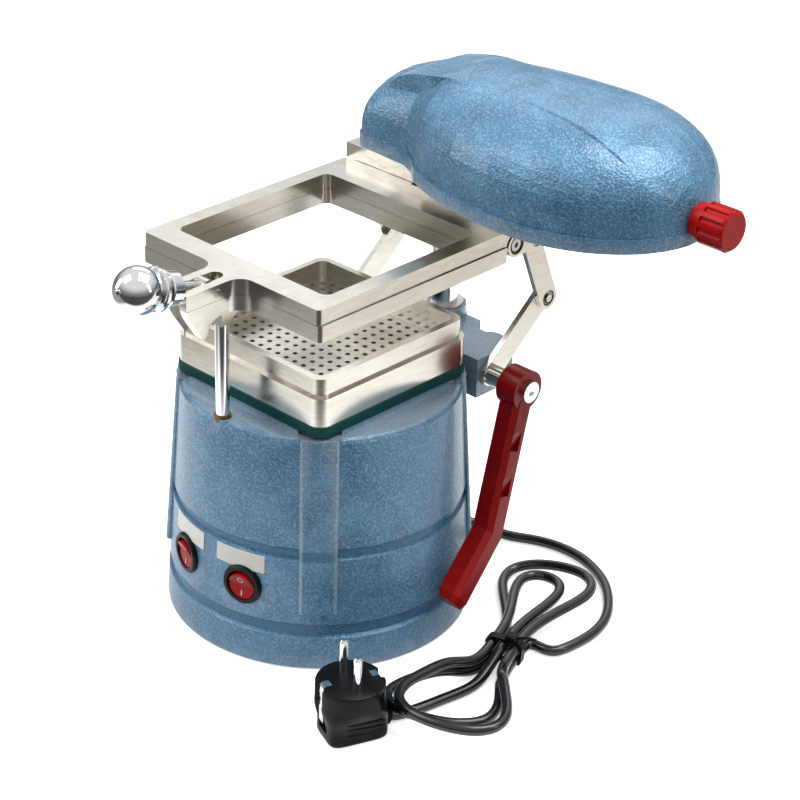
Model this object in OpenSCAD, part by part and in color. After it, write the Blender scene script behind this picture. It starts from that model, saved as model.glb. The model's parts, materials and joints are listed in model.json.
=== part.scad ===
// Dental vacuum former. All lengths in millimetres.
// Origin: centre of the base on the bench. +Z up, operator side -Y, lever side +X.

/* [Base] */
// Radius of the base at the bench
base_bottom_r = 90.2; // [85:0.1:95]
// Radius of the base at its top rim
base_top_r = 82.06; // [78:0.1:86]
// Height of the top rim
base_top_z = 144.6; // [135:0.1:155]
// Wall thickness of the housing
base_wall = 3; // [2:0.5:4]
// Lower groove, bottom edge height
groove_low_z = 22; // [18:0.5:30]
// Upper groove, bottom edge height
groove_high_z = 71.5; // [64:0.5:76]
// Width across a corner rib
rib_width = 22; // [16:1:26]

/* [Table] */
// Half side of the gasket under the table
gasket_half = 60.5; // [58:0.1:61]
// Half side of the table's lower tier
table_half = 59.8; // [58:0.1:60]
// Half side of the table's upper rim
rim_half = 57.65; // [56:0.05:58]
// Height of the rim's top
rim_z = 180.84; // [178:0.1:181]
// Pitch of the suction holes
hole_pitch = 7; // [6:0.5:12]

/* [Column and linkage] */
// Column radius
column_r = 9; // [8:0.5:10]
// Distance of the column behind the centre
column_y = 102; // [100:0.5:104]
// Lever shaft, y
shaft_y = 78.5; // [77:0.5:80]
// Lever shaft, z
shaft_z = 138.3; // [137:0.1:140]
// Elbow between crank and link, y
elbow_y = 122; // [120:0.5:124]
// Elbow between crank and link, z
elbow_z = 174.5; // [172:0.5:177]
// Upper pivot of the link, y
pivot_y = 103; // [102:0.5:104]
// Upper pivot of the link, z
pivot_z = 220; // [218:0.5:222]

/* [Frames] */
// Half width of both frames
frame_half_x = 70; // [68:0.5:72]
// Underside of the lower frame
lower_z = 213.7; // [212:0.1:215]
// Top of the lower frame
split_z = 223.2; // [222:0.1:224]
// Top of the upper frame
upper_top_z = 232.4; // [231:0.1:234]
// Swing-bolt angle above the horizontal at rest
bolt_angle = 15.8; // [0:0.1:30]

/* [Head] */
// Underside of the heater head
head_z = 254.6; // [253:0.1:256]
// Top of the head's crown
crown_z = 314; // [300:1:320]
// Half width of the head over the frame
head_half_w = 68.1; // [60:0.1:72]
// Stations along the head
head_stations = 30; // [16:2:40]

/* [Cord] */
// Cord diameter
cord_d = 6.2; // [5:0.1:8]

/* [Output] */
// Sub-part to draw, or all

/* [Hidden] */
e = 0.01;
$fn = 64;
gap = 0.2;
hy = 85; hz = 221.5;
rod_y = -76.7;
pin_y = -89.5; pin_z = 227.8;
paint = "#4c7ea6"; nickel = "#c8c5be"; chrome = "#d5d8dc"; red = "#c8281e"; dark = "#2a2c30";
label = "#ecebe6"; steel = "#b4b7bb"; green = "#2f5a48"; copper = "#a8683a";

function wall_r(z) = base_bottom_r + (base_top_r - base_bottom_r) * z / base_top_z;

module sq(h, r, z0, z1) { translate([0, 0, z0]) linear_extrude(z1 - z0) offset(r) square(2 * (h - r), center = true); }
module box(x0, x1, y0, y1, z0, z1) { translate([x0, y0, z0]) cube([x1 - x0, y1 - y0, z1 - z0]); }
module cx(x0, x1, y, z, r) { translate([x0, y, z]) rotate([0, 90, 0]) cylinder(r = r, h = x1 - x0); }
module cz(x, y, z0, z1, r) { translate([x, y, z0]) cylinder(r = r, h = z1 - z0); }
module both() { children(); mirror([1, 0, 0]) children(); }
module four(a) { for (i = [-1, 1], j = [-1, 1]) translate([i * a, j * a, 0]) children(); }

// Base
switch_azs = [-74.3, -105.3];
module at_switch(az, r) { rotate([0, 0, az]) translate([r, 0, 0]) rotate([0, 90, 0]) children(); }

module base_housing() color(paint) {
  g = 1.6;
  zl = groove_low_z; zh = groove_high_z;
  difference() {
    union() {
      rotate_extrude($fn = 128) difference() {
        polygon([[0, 1], [wall_r(1), 1], [wall_r(zl) + 0.4, zl - 1.5], [wall_r(zl) - g, zl], [wall_r(zl + 7) - g, zl + 6],
          [wall_r(zl + 7), zl + 7.5], [wall_r(zh) + 0.2, zh - 1], [wall_r(zh) - g, zh], [wall_r(zh + 5) - g, zh + 4.5],
          [wall_r(zh + 6), zh + 6], [base_top_r, base_top_z - 2.5], [base_top_r - 1, base_top_z - 0.7], [base_top_r - 3, base_top_z], [0, base_top_z]]);
        polygon([[-1, 0], [wall_r(0) - base_wall, 0], [wall_r(zl) - base_wall - 1, zl + 3], [base_top_r - base_wall - 0.6, base_top_z - 6],
          [base_top_r - base_wall - 4, base_top_z - 4], [-1, base_top_z - 4]]);
      }
      intersection() {
        union() {
          box(-61, 61, 66.5, 90, 121.4, base_top_z);
          cz(0, rod_y, 110, base_top_z, 8);
        }
        cylinder(r = base_top_r - 0.8, h = base_top_z);
      }
      for (a = [20 : 90 : 290]) rotate([0, 0, a]) cz(79, 0, 6, 20, 7);
      sq(61.6, 8.5, base_top_z - 1, 146.7);
      for (a = [45, 135, 225, 315]) rotate([0, 0, a]) rotate([0, -4.07, 0])
        translate([89.2, 0, 31]) linear_extrude(118) offset(2.4) square([3, rib_width - 4.8], center = true);
    }
    for (a = [45, 135, 225, 315]) rotate([0, 0, a]) box(60, 100, -12, 12, base_top_z, 156);
    box(-58.2, 58.2, 70, 95, 124.4, 160);
    cz(0, rod_y, 90, 160, 5);
    cz(0, 0, 130, 160, 16);
    four(42) cz(0, 0, 130, 160, 2.6);
    both() translate([44, 60, 129.2]) rotate([-90, 0, 0]) cylinder(r = 2.6, h = 12);
    for (a = switch_azs) at_switch(a, 86.4) translate([-48.5, 0, 0]) cylinder(r = 12.4, h = 20);
    for (a = switch_azs) at_switch(a, 80) translate([-48.5, 0, 0]) cylinder(r = 10.1, h = 20);
    rotate([0, 0, 80]) translate([80, 0, 12]) rotate([0, 90, 0]) cylinder(r = 5, h = 20);
    for (a = [20 : 90 : 290]) rotate([0, 0, a]) cz(79, 0, 5, 17, 1.6);
    // air inlet slots at the rear, low on the skirt
    for (a = [126 : 8 : 158]) rotate([0, 0, a]) box(80, 100, -1.6, 1.6, 6, 18);
  }
}

module base_plate() {
  color(dark) difference() {
    cz(0, 0, 3, 6, 86.2);
    four(52) cylinder(r = 3, h = 20, center = true);
    for (a = [20 : 90 : 290]) rotate([0, 0, a]) cz(79, 0, -1, 9, 1.6);
    for (a = [0 : 30 : 330]) rotate([0, 0, a]) translate([62, 0, 0]) cylinder(r = 3.5, h = 20, center = true);
  }
}

// One moulded ring to stand on, held by four studs through the plate
module foot_ring() {
  color(dark) {
    difference() { cz(0, 0, 0, 3, 75.8); cz(0, 0, -1, 4, 67); }
    four(52) { translate([0, 0, 2.5]) cylinder(r = 2.95, h = 4.5); translate([0, 0, 6]) cylinder(r = 4.5, h = 2); }
  }
}

module base_screws() {
  color(steel) for (a = [20 : 90 : 290]) rotate([0, 0, a]) { cz(79, 0, 1.4, 3, 3); cz(79, 0, 3, 16, 1.6); }
}

module motor_mount() {
  color(dark) difference() { cz(0, 0, 6, 12, 44); cz(0, 0, 9, 13, 40); cz(0, 0, 5, 13, 34); }
}

module vacuum_motor() {
  color(steel) difference() {
    union() { cz(0, 0, 9, 74, 40); cz(0, 0, 74, 104, 46); }
    cz(0, 0, 12, 72, 37); cz(0, 0, 77, 101, 43);
    cz(0, 0, 8, 80, 4.05); cz(0, 0, 100, 105, 16);
    for (a = [0 : 45 : 315]) rotate([0, 0, a]) { box(42, 50, -5, 5, 80, 92); box(36, 50, -5, 5, 20, 34); }
  }
}

module motor_rotor() {
  color(copper) { cz(0, 0, 24, 60, 24); cz(0, 0, 9.5, 90, 4); cz(0, 0, 12.3, 24, 8); cz(0, 0, 77.4, 80, 38);
    for (a = [0 : 40 : 320]) rotate([0, 0, a]) box(14, 38, -0.8, 0.8, 79, 96); }
}

module suction_duct() {
  color(dark) difference() { union() { cz(0, 0, 104, 152.3, 16); cz(0, 0, 104, 108, 22); } cz(0, 0, 103, 153, 13); }
}

module table_gasket() {
  color(green) difference() { sq(gasket_half, 8.5, 146.7, 152.3); sq(50, 6, 146, 153); }
}

module vacuum_table() {
  color(steel) difference() {
    union() { sq(table_half, 8, 152.3, 169.75); sq(rim_half, 7, 169.7, rim_z); }
    sq(53.5, 5, 164, rim_z + 1);
    sq(50, 4, 155.3, 165);
    sq(53.5, 5, 162.5, 165);
    cz(0, 0, 150, 157, 13);
    four(42) cz(0, 0, 150, 157, 2.6);
  }
}

module perforated_plate() {
  n = floor(2 * 50.2 / hole_pitch) + 1;
  color(steel) translate([0, 0, 162.5]) linear_extrude(1.5) difference() {
    offset(5) square(2 * (53.4 - 5), center = true);
    for (i = [-(n - 1) / 2 : (n - 1) / 2], j = [-(n - 1) / 2 : (n - 1) / 2]) translate([i * hole_pitch, j * hole_pitch]) circle(r = 1.5, $fn = 16);
  }
}

module table_screws() {
  color(steel) four(42) { cz(0, 0, 141, 155.3, 2.6); difference() { cz(0, 0, 155.3, 158.6, 4.6); cz(0, 0, 157, 159, 2); } }
}

module bezel(az) {
  color(dark) at_switch(az, 0) translate([-48.5, 0, 0]) difference() {
    union() { cz(0, 0, 62, 86.5, 10.1); cz(0, 0, 86.4, 88.2, 12.25); translate([0, 0, 88.2]) cylinder(r1 = 12.25, r2 = 11.2, h = 1.2); }
    cz(0, 0, 66, 91, 9.2);
    translate([0, 0, 84]) rotate([90, 0, 0]) cylinder(r = 1.55, h = 30, center = true);
  }
}

module rocker(az, tilt) {
  color(red) at_switch(az, 84) translate([-48.5, 0, 0]) {
    rotate([0, tilt, 0]) intersection() {
      cylinder(r = 8.2, h = 30, center = true);
      rotate([90, 0, 0]) linear_extrude(20, center = true) polygon([[-9, -3], [9, -3], [9, 6.2], [0, 4.4], [-9, 6.2]]);
    }
    rotate([90, 0, 0]) cylinder(r = 1.5, h = 19.6, center = true);
  }
}

module heat_bezel() { bezel(switch_azs[0]); }
module vacuum_bezel() { bezel(switch_azs[1]); }
module heat_rocker() { rocker(switch_azs[0], 9); }
module vacuum_rocker() { rocker(switch_azs[1], 9); }

function tier(z) = wall_r(groove_low_z + 7) + (z - 29.5) / (groove_high_z - 1 - 29.5) * (wall_r(groove_high_z) + 0.2 - wall_r(groove_low_z + 7));
module label_plates() {
  color(label) difference() {
    for (a = [-86.3, -114.7]) rotate([0, 0, a]) rotate_extrude(angle = 21, $fn = 128)
      polygon([[tier(59), 59], [tier(59) + 0.5, 59], [tier(69.8) + 0.5, 69.8], [tier(69.8), 69.8]]);
    // cut clear of the bezels
    for (a = switch_azs) at_switch(a, 0) translate([-48.5, 0, 0]) cz(0, 0, 60, 95, 12.35);
  }
}

module cord_gland() {
  color(dark) rotate([0, 0, 80]) translate([0, 0, 12]) rotate([0, 90, 0]) difference() {
    union() { cz(0, 0, 82, 98, 5); cz(0, 0, 90.3, 93, 7.5); }
    cz(0, 0, 80, 99, cord_d / 2 + 0.05);
    translate([0, 0, 88]) cylinder(r1 = cord_d / 2, r2 = cord_d / 2 + 1.3, h = 10.2);
  }
}

module rod_bush() {
  color("#b89a50") difference() { cz(0, rod_y, 132, 146, 5); cz(0, rod_y, 130, 148, 4.07); }
}

// Column group
module rear_bracket() {
  color(paint) difference() {
    union() {
      box(-57.8, 57.8, 70, 110, 124.4, 149.3);
      cz(0, column_y, 124.4, 149.3, 15);
    }
    cz(0, column_y, 120, 160, column_r);
    translate([0, shaft_y, shaft_z]) rotate([0, 90, 0]) cylinder(r = 4.03, h = 140, center = true);
    both() { cx(30, 60, shaft_y, shaft_z, 4.03);
      translate([44, 90, 129.2]) rotate([-90, 0, 0]) cylinder(r = 2.6, h = 50, center = true);
      translate([44, 98, 129.2]) rotate([-90, 0, 0]) cylinder(r = 5, h = 50);
      // weight-saving pockets at the back corners
      difference() { box(24, 60, 101, 112, 120, 152); cz(44, 96, 100, 160, 9); } }
  }
}

module bracket_bolts() {
  color(steel) both() translate([44, 0, 129.2]) rotate([-90, 0, 0]) {
    cz(0, 0, 66, 98, 2.6);
    difference() { cz(0, 0, 98, 103, 4.6); translate([0, 0, 101]) cylinder(r = 2.4, h = 3, $fn = 6); }
  }
}

module column() {
  color(chrome) { cz(0, column_y, 124.4, 285, column_r); }
}

module column_collar() {
  color(paint) difference() { cz(0, column_y, 149.3, 156, 14.5); cz(0, column_y, 149, 157, column_r); }
}

module column_washer() {
  color(steel) difference() { cz(0, column_y, 156, 158, 12.5); cz(0, column_y, 155, 159, column_r); }
}

// Lever, cranks and links
module bar2(y1, z1, y2, z2, x0, x1, r) {
  translate([x0, y1, z1]) rotate([0, 90, 0]) rotate([0, 0, 0]) multmatrix([[0, -1, 0, 0], [1, 0, 0, 0], [0, 0, 1, 0], [0, 0, 0, 1]])
    linear_extrude(x1 - x0) { l = norm([y2 - y1, z2 - z1]); rotate(atan2(z2 - z1, y2 - y1)) { circle(r); translate([l, 0]) circle(r); translate([0, -r]) square([l, 2 * r]); } }
}

module lever_shaft() { color(steel) cx(-62.8, 84, shaft_y, shaft_z, 3.96); }

module crank() {
  color(steel) difference() {
    bar2(shaft_y, shaft_z, elbow_y, elbow_z, 58.2, 61.6, 7.2);
    cx(57, 63, shaft_y, shaft_z, 3.96);
    cx(57, 63, elbow_y, elbow_z, 2.3);
  }
}
module crank_right() { crank(); }
module crank_left() { mirror([1, 0, 0]) crank(); }
module elbow_pins() { color(steel) both() cx(58.2, 65.6, elbow_y, elbow_z, 2.3); }
module hub_spacer() { color(steel) difference() { cx(61.6, 75.5, shaft_y, shaft_z, 6.2); cx(60, 77, shaft_y, shaft_z, 3.96); } }

lever_pts = [[82.5, shaft_y, shaft_z], [93.5, 43.8, 61], [99, 8, 31.5]];
module lever_slice(p, d, s = 1) {
  v = d / norm(d);
  multmatrix([[1, 0, 0, p[0]], [0, v[1], v[0], p[1]], [0, -v[0], v[1], p[2]], [0, 0, 0, 1]]) translate([0, 0, -0.1]) linear_extrude(0.2)
    polygon([[-7 * s, -6.7 * s], [7 * s, -6.7 * s], [7 * s, 3.4 * s], [4 * s, 6.7 * s], [-5.5 * s, 6.7 * s], [-7 * s, 5.2 * s]]);
}
module lever_handle() {
  p = lever_pts;
  d1 = [p[1][1] - p[0][1], p[1][2] - p[0][2]]; d2 = [p[2][1] - p[1][1], p[2][2] - p[1][2]];
  m = d1 / norm(d1) + d2 / norm(d2);
  color(red) difference() {
    union() {
      cx(75.5, 89.5, shaft_y, shaft_z, 12);
      hull() { lever_slice(p[0] + [0, -2, -4.5], d1); lever_slice(p[1], m); }
      hull() { lever_slice(p[1], m); lever_slice(p[2] + [-0.5, 2.6, 2.2], d2); }
      hull() { lever_slice(p[2] + [-0.5, 2.6, 2.2], d2); lever_slice(p[2] + [0, -0.8, -0.7], d2, 0.8); }
    }
    cx(75, 84, shaft_y, shaft_z, 3.96);
    cx(83, 92, shaft_y, shaft_z, 3);
    for (t = [0.3, 0.62]) translate(p[0] + t * (p[1] - p[0]) + [6.4, 0, 0]) rotate([atan2(d1[1], d1[0]) + 90, 8.2, 0]) translate([0, -3.6, -10]) cube([3, 7.2, 20]);
  }
}
module lever_screw() { color(chrome) { cx(84, 89.6, shaft_y, shaft_z, 2.9); difference() { cx(89.6, 92.3, shaft_y, shaft_z, 6.4); translate([91, shaft_y, shaft_z]) rotate([0, 90, 0]) cylinder(r = 2.6, h = 3, $fn = 6); } } }

module link() {
  color(steel) difference() {
    bar2(pivot_y, pivot_z, elbow_y, elbow_z, 61.8, 65, 7.2);
    cx(60, 66, pivot_y, pivot_z, 2.5);
    cx(60, 66, elbow_y, elbow_z, 4.9);
  }
}
module upper_link_right() { link(); }
module upper_link_left() { mirror([1, 0, 0]) link(); }
module link_screws() { color(steel) both() { cx(56, 67, pivot_y, pivot_z, 2.45); cx(67, 69.5, pivot_y, pivot_z, 4.2); } }

// Carriage
module crosshead() {
  color(paint) difference() {
    union() {
      difference() {
        union() { box(-70, 70, 88.5, 113, 214, 242); box(-17, 17, 100, 116, 214, 242); box(-48.5, 48.5, 88.5, 97, 213.7, 218.5); }
        difference() { cx(-71, 71, hy, hz, 11.7); box(-48.5, 48.5, 80, 110, 200, 218.5); box(-13, 13, 90.5, 110, 200, 240); }
      }
      both() { cx(60.2, 70, hy, hz, 7.4); box(60.2, 70, 85, 98, 214.6, 226); }
    }
    cz(0, column_y, 210, 250, 11);
    both() {
      box(61.5, 65.3, 94.5, 115, 210, 229.5);
      cx(56, 68, pivot_y, pivot_z, 2.45); cx(67, 72, pivot_y, pivot_z, 4.6);
      cx(55, 68, hy, hz, 2.5); cx(67, 72, hy, hz, 5.6);
      translate([26, 80, 216.3]) rotate([-90, 0, 0]) { cylinder(r = 1.5, h = 40); translate([0, 0, 26]) cylinder(r = 2.15, h = 20); }
    }
  }
}
module crosshead_bush() { color("#b89a50") difference() { cz(0, column_y, 214, 242, 11); cz(0, column_y, 213, 243, 9.06); } }
module frame_screws() { color(steel) both() translate([26, 72, 216.3]) rotate([-90, 0, 0]) { cylinder(r = 1.5, h = 34); translate([0, 0, 34]) cylinder(r = 2.1, h = 3); } }
module hinge_pins() { color(steel) both() { cx(49.6, 67, hy, hz, 2.5); difference() { cx(67, 69.4, hy, hz, 3.8); translate([68.4, hy, hz]) rotate([0, 90, 0]) cylinder(r = 1.8, h = 3, $fn = 6); } } }

module arm_fillets(z0, z1) { translate([0, 0, z0]) linear_extrude(z1 - z0) both() difference() { translate([10.3, -81]) square([9.1, 10]); translate([19.4, -81]) circle(9); } }
module plate2(hx, y0, y1, oy, z0, z1) {
  translate([0, 0, z0]) linear_extrude(z1 - z0) difference() {
    translate([-hx, y0]) offset(3) translate([3, 3]) square([2 * hx - 6, y1 - y0 - 6]);
    translate([-59.7, oy]) offset(5) translate([5, 5]) square([109.4, 62.2 - oy - 10]);
  }
}
module in_yz(x0, x1) { multmatrix([[0, 0, 1, x0], [1, 0, 0, 0], [0, 1, 0, 0], [0, 0, 0, 1]]) linear_extrude(x1 - x0) children(); }

module lower_frame() {
  color(nickel) difference() {
    union() {
      plate2(71, -72, 88.5, -58.3, lower_z, split_z);
      arm_fillets(lower_z, split_z);
      in_yz(-10.4, 10.4) {
        intersection() { translate([pin_y, pin_z]) circle(21.9); polygon([[-120, split_z], [-107.8, 215.6], [-86, 204], [-72, lower_z], [-72, split_z]]); }
        polygon([[-72, split_z], [-107, split_z], [-107.72, 215.5], [-100.9, 205.2], [-100.2, 204], [-99.2, 203.3], [-98, 203.6], [-97, 205], [-95.6, 208], [-93.4, 210.9], [-90.8, 212.8], [-88, lower_z], [-72, lower_z]]);
      }
    }
    box(-4.45, 4.45, -130, -82.6, 195, 240);
    cz(0, rod_y, 200, 221, 4.02);
    both() box(48.5, 80, 75.5, 95, 200, 240);
    box(-80, 80, 83, 95, 219, 240);
    both() translate([26, 72, 216.3]) rotate([-90, 0, 0]) cylinder(r = 1.5, h = 34);
    // crop the round intersection left under the prongs
    difference() { box(-20, 20, -112, -86, 190, lower_z - 0.001); in_yz(-30, 30) polygon([[-118, lower_z + 1], [-107.72, 215.5], [-100.9, 205.2], [-100.2, 204], [-99.2, 203.3], [-98, 203.6], [-97, 205], [-95.6, 208], [-93.4, 210.9], [-90.8, 212.8], [-88, lower_z], [-80, lower_z + 1]]); }
  }
}
module guide_rod() { color(chrome) { cz(0, rod_y, 146, 221, 4); translate([0, rod_y, 143.5]) cylinder(r1 = 2.5, r2 = 4, h = 2.5); } }

module upper_frame() {
  z0 = split_z + gap;
  color(nickel) difference() {
    union() {
      plate2(frame_half_x, -72, 88.2, -56.4, z0, upper_top_z);
      arm_fillets(z0, upper_top_z);
      intersection() { in_yz(-10.4, 10.4) translate([pin_y, pin_z]) circle(21.9); box(-20, 20, -120, -70, z0, upper_top_z); }
      both() cx(50, 59.7, hy, hz, 7.2);
    }
    box(-4.45, 4.45, -130, -81.5, 195, 240);
    cz(0, -81.5, 195, 240, 4.45);
    cx(-20, 20, pin_y, pin_z, 2.5);
    both() { cx(45, 62, hy, hz, 2.56); intersection() { cx(59.95, 80, hy, hz, 9.3); box(50, 80, 70, 100, 200, 230.8); } }
    both() box(48.3, 50, 76.5, 92, 200, 229.5);
    box(-14.5, 14.5, 86, 100, 200, 250);
  }
}

// Swing bolt
module at_bolt() { translate([0, pin_y, pin_z]) rotate([90 - bolt_angle, 0, 0]) children(); }
module clamp_pin() { color(steel) cx(-9.4, 9.4, pin_y, pin_z, 2.5); }
module swing_bolt() {
  color(steel) difference() {
    union() { cx(-3.9, 3.9, pin_y, pin_z, 5.5); at_bolt() cz(0, 0, 3, 52, 3.9); }
    cx(-5, 5, pin_y, pin_z, 2.56);
  }
}
module clamp_collar() {
  color(chrome) at_bolt() difference() {
    rotate_extrude() polygon([[3.97, 22.4], [9.4, 22.4], [10, 23], [10, 29.6], [9.4, 30.4], [6.5, 31], [6.5, 34], [11.8, 34.4], [12.6, 35.2], [12.6, 37], [11.8, 37.8], [3.97, 37.8]]);
  }
}
module ball_knob() {
  color(chrome) at_bolt() rotate_extrude() difference() {
    intersection() { translate([0, 48.2]) circle(13.5, $fn = 96); translate([0, 37.8]) square([20, 40]); }
    translate([-1, 30]) square([4.97, 22.5]);
    translate([-1, 58.5]) square([3, 9]);
  }
}

// Head
ss = function(x) let(a = min(1, max(0, x))) a * a * (3 - 2 * a);
function head_w(s) = s >= 99 ? head_half_w * sqrt(max(0, 1 - pow((s - 99) / 81.5, 2)))
  : let(x = max(0, (s + 5) / 104), f = (1 - pow(1 - x, 2.2)) * ss(x / 0.25), w = 37 + (head_half_w - 37) * f - (s < -5 ? 2.4 * (-5 - s) / 38.5 : 0))
    s < -35.5 ? w - 8 * (1 - sqrt(max(0, 1 - pow((-35.5 - s) / 8, 2)))) : w;
rz = head_z + 8;
function crest(s) = s >= 99 ? rz + (crown_z - rz) * pow(max(0, 1 - pow((s - 99) / 81.5, 2)), 0.3125)
  : crown_z - 314 + lookup(s, [[-43.5, 268], [-43, 277], [-41.5, 284], [-39, 290], [-35.5, 294.5], [-30, 298], [-25, 300], [-1, 304], [9, 309], [20, 313], [50, 314], [99, 314]]);
sts = [-43.4, -42.9, -41.5, -39, -35.5, -30, -25, -18, -10, -1, 9, 20, 30, 42, 55, 70, 85, 99, 110, 120, 130, 139, 147, 154, 161, 167, 172, 176, 178.4, 180];
nr = 10;
function panel_w(s) = lookup(s, [[-30, 24], [10, 26], [45, 22], [74, 24], [102, 27], [125, 30], [150, 31]]);
function panel_z(s) = s < -27 || s > 149 ? 0 : crown_z - 314 + lookup(s, [[-27, 293.7], [-14, 303.4], [8, 308.2], [20, 310], [45, 311.6], [99, 312.4], [125, 310.6], [148, 303]]);
function body_z(t, wi, c) = rz + (c - rz) * pow(max(0, 1 - pow(t / wi, 2)), 0.3125);
function half_ring(s, m) = let(w = max(0.6, head_w(s)), wi = max(0.4, w - 1.5), c = crest(s), tp = min(panel_w(s), 0.78 * wi), te = min(tp + 0.8, 0.82 * wi), ae = acos(te / wi),
    zb = body_z(te, wi, c), zp = max(panel_z(s), body_z(tp, wi, c) + 0.02), zc = max(c + 0.05, zp + 1.5 * tp / 30))
  concat([[s, column_y + m * w, head_z], [s, column_y + m * w, rz]],
    [for (k = [0 : nr]) let(a = ae * k / nr) [s, column_y + m * wi * cos(a), body_z(wi * cos(a), wi, c)]],
    [for (k = [0 : 2]) let(u = 1 - k / 3) [s, column_y + m * tp * u, zc - (zc - zp) * u * u]]);
function rev(v) = [for (i = [len(v) - 1 : -1 : 0]) v[i]];
function ring(s) = let(l = half_ring(s, -1), r = half_ring(s, 1)) concat(l, [[s, column_y, max(crest(s) + 0.05, l[len(l) - 1][2] + 0.1)]], rev(r));
function inner_ring(s) = let(w = max(1, head_w(s) - 2.6), wi = w - 1, c = crest(s) - 2.6)
  concat([[s, column_y - w, head_z - 40]], [[s, column_y - w, rz - 1]], [for (k = [0 : 16]) let(a = 180 * k / 16) [s, column_y - wi * cos(a), body_z(wi * cos(a), wi, c)]], [[s, column_y + w, rz - 1], [s, column_y + w, head_z - 40]]);
module loft(rings) {
  rs = [for (r = rings) rev(r)];
  n = len(rs[0]); m = len(rs);
  polyhedron(points = [for (r = rs, p = r) p], faces = concat(
    [[for (k = [0 : n - 1]) k]], [[for (k = [n - 1 : -1 : 0]) (m - 1) * n + k]],
    [for (j = [0 : m - 2], k = [0 : n - 1]) let(a = j * n + k, b = j * n + (k + 1) % n) each [[a, a + n, b], [b, a + n, b + n]]]), convexity = 6);
}
module head_outer() { loft([for (s = sts) ring(s)]); }
module head_inner() { loft([for (s = [-41, -38, -33, -25, -10, 9, 20, 42, 70, 99, 120, 139, 154, 165, 173]) inner_ring(s)]); }
module head_casing() {
  color(paint) difference() {
    head_outer();
    head_inner();
  }
}
module head_floor() {
  pts = [for (s = [-40.6, -38, -33, -25, -10, 0, 9, 20, 30, 42, 55, 70, 85, 99, 110, 120, 130, 139, 147, 154, 161, 167, 172]) [s, head_w(s) - 3.5]];
  color(steel) difference() {
    translate([0, column_y, head_z + 0.6]) linear_extrude(2) polygon(concat(pts, [for (i = [len(pts) - 1 : -1 : 0]) [pts[i][0], -pts[i][1]]]));
    cz(0, column_y, 250, 260, 15);
    cz(99, column_y, 250, 260, 56);
    for (a = [45 : 90 : 315]) translate([0, column_y, 0]) rotate([0, 0, a]) cz(20, 0, 250, 270, 1.6);
  }
}
module head_collar() { color(steel) difference() { cz(0, column_y, 243.2, 247, 14); cz(0, column_y, 243, 248, column_r); } }
module head_hub() {
  color(dark) difference() {
    union() { cz(0, column_y, 247.05, 290, 15); cz(0, column_y, 257.2, 262, 25); }
    cz(0, column_y, 247, 286, 9.06);
    for (a = [45 : 90 : 315]) translate([0, column_y, 0]) rotate([0, 0, a]) cz(20, 0, 250, 270, 1.6);
  }
}
module head_screws() {
  color(steel) {
    for (a = [45 : 90 : 315]) translate([0, column_y, 0]) rotate([0, 0, a]) { cz(20, 0, 253.4, 255.2, 3); cz(20, 0, 255.2, 264, 1.6); }
  }
}
module heater_tray() {
  color(steel) translate([99, column_y, 0]) rotate_extrude($fn = 96) polygon([[0, 271], [50, 271], [56, 257.2], [61, 257.2], [61, 258.4], [57, 258.4], [51, 272.4], [0, 272.4]]);
}
module heating_coil() {
  color(copper) translate([99, column_y, 0]) {
    for (r = [14, 26, 38]) rotate_extrude() translate([r, 263.5]) circle(2.6, $fn = 20);
    for (a = [90, 210, 330]) rotate([0, 0, a]) { translate([10, 0, 267.4]) rotate([0, 90, 0]) cylinder(r = 1.6, h = 31); cz(14, 0, 263.5, 271, 1.8); cz(38, 0, 263.5, 271, 1.8); }
  }
}
module heater_guard() {
  color(steel) translate([99, column_y, 0]) {
    difference() { cz(0, 0, 255, 257, 55.9); cz(0, 0, 254, 258, 52.5); }
    for (y = [-40 : 16 : 40]) { l = sqrt(54 * 54 - y * y); translate([-l, y, 256]) rotate([0, 90, 0]) cylinder(r = 0.9, h = 2 * l, $fn = 16); }
  }
}
module head_knob() {
  color(red) difference() {
    union() { cx(180, 186, column_y, 268, 9.8); cx(186, 201.5, column_y, 268, 12); translate([201.5, column_y, 268]) rotate([0, 90, 0]) cylinder(r1 = 12, r2 = 10.4, h = 1.6); }
    for (a = [0 : 30 : 330]) translate([187.5, column_y, 268]) rotate([a, 0, 0]) translate([0, 0, 12.6]) rotate([0, 90, 0]) cylinder(r = 1.9, h = 20, $fn = 20);
  }
}

// Cord: one path from the gland, through the tied hank, to the plug
cr = cord_d / 2;
st = cord_d + 1.2;
h2 = [-0.33, 0.945] / norm([-0.33, 0.945]);
g2 = [h2[1], -h2[0]];
tie0 = [130, 22];
function hk(al, la, z) = let(p = tie0 + al * h2 + la * g2) [p[0], p[1], z];
function lobe(sg, L, W, F, l0, l1, z0, z1, bump, n) = [for (i = [0 : n]) let(f = 180 * i / n, s = sin(f))
  hk(sg * (8 + (L - 8) * s), l0 + (l1 - l0) * ss(i / n) + sign(l0) * W / 0.77 * s * sin(2 * f) + F * s * s,
     z0 + (z1 - z0) * ss((i / n - 0.25) / 0.4) + bump * ss((L * s - 12) / 36))];
function cat1(p, t) = let(i = min(len(p) - 4, floor(t)), u = t - i, a = p[i], b = p[i + 1], c = p[i + 2], d = p[i + 3])
  0.5 * (2 * b + (c - a) * u + (2 * a - 5 * b + 4 * c - d) * u * u + (3 * b - a - 3 * c + d) * u * u * u);
function spline(p, n) = [for (i = [0 : n]) cat1(p, (len(p) - 3) * i / n)];
zf = cr + 0.05;
z1 = zf + st;
az = [cos(80), sin(80)];
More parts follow.
